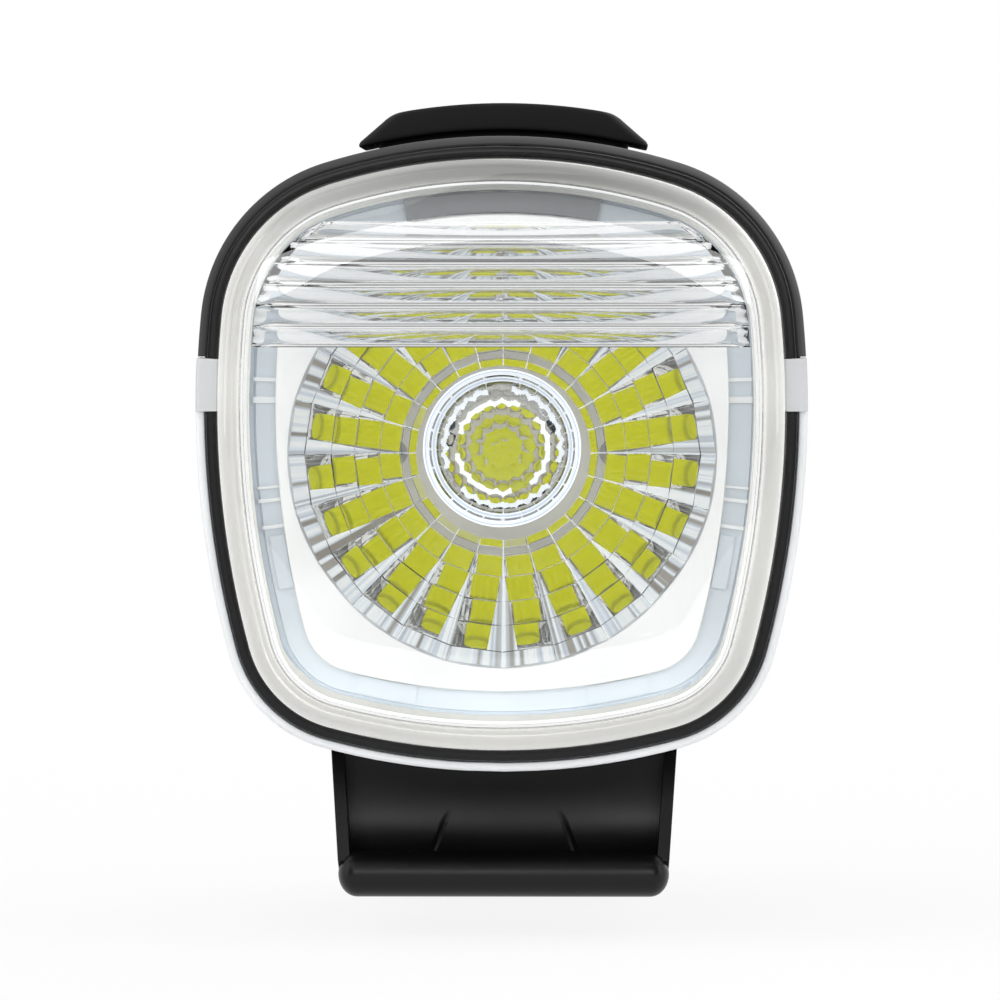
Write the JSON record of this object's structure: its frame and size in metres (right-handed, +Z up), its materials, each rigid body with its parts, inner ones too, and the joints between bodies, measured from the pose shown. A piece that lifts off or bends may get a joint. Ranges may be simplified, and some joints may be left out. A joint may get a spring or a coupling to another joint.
{
  "type": "bike headlight",
  "caption": "Bike headlight with a rounded square clear lens over a faceted optic, a frosted side light guide, a top button, a rear charging port and a handlebar bracket with a release lever.",
  "frame": {"origin": "on the handlebar's axis, in the middle of the bracket's saddle", "axes": "+Z up, +X along the handlebar to the right seen from the front, and the light shines towards -Y"},
  "size_m": [0.0458, 0.0726, 0.061],
  "materials": {
    "clear_lens": "clear polycarbonate, polished",
    "clear_optic": "clear acrylic, polished facets",
    "clear_silicone": "silicone",
    "black_bezel": "satin moulded",
    "frosted_guide": "frosted translucent",
    "white_reflector": "matte moulded",
    "led_yellow": "phosphor under a clear dome",
    "aluminium": "satin",
    "steel": "plated",
    "black_shell": "fine moulded texture",
    "black_rubber": "matte moulded",
    "black_bracket": "satin moulded",
    "chassis_plastic": "moulded",
    "cell_sleeve": "shrink sleeve over the can",
    "foam": "closed cell foam",
    "red_wire": "insulated",
    "black_wire": "insulated",
    "circuit_board": "solder mask",
    "switch_plastic": "moulded"
  },
  "bodies": {
    "lamp": {"front_lens": "clear_lens", "lens_gasket": "clear_silicone", "front_bezel": "black_bezel", "side_light_guide": "frosted_guide", "reflector_plate": "white_reflector", "collimator_lens": "clear_optic", "led_emitter": "led_yellow", "led_board": "aluminium", "led_screws": "steel", "heat_sink": "aluminium", "upper_shell": "black_shell", "lower_shell": "black_shell", "parting_seal": "black_rubber", "shell_screws": "steel", "inner_chassis": "chassis_plastic", "battery_cell": "cell_sleeve", "battery_rests": "foam", "battery_end_pads": "foam", "battery_leads": "red_wire", "led_leads": "black_wire", "main_board": "circuit_board", "tact_switch": "switch_plastic", "usb_socket": "steel", "mount_shoe": "black_bracket", "shoe_screws": "steel", "bracket_base": "black_bracket", "saddle_pad": "black_rubber", "lever_pins": "steel", "lever_springs": "steel"},
    "lever": {"release_lever": "black_bracket"},
    "button": {"power_button": "black_rubber", "switch_cap": "switch_plastic"},
    "cover": {"usb_cover": "black_rubber"}
  },
  "joints": [
    {"name": "lever_press", "type": "hinge", "parent": "lamp", "child": "lever", "pos_m": [0, -0.003, 0.0164], "axis": [1, 0, 0], "range_deg": [0, 6.5], "stiffness_Nm_per_rad": 0.9, "springref_deg": -1.72, "deforming": ["lever_springs"]},
    {"name": "button_press", "type": "slide", "parent": "lamp", "child": "button", "axis": [0, 0, -1], "range_m": [0, 0.0005], "stiffness_N_per_m": 2000},
    {"name": "usb_cover_open", "type": "hinge", "parent": "lamp", "child": "cover", "pos_m": [0, 0.03095, 0.0539], "axis": [1, 0, 0], "range_deg": [0, 105]}
  ]
}
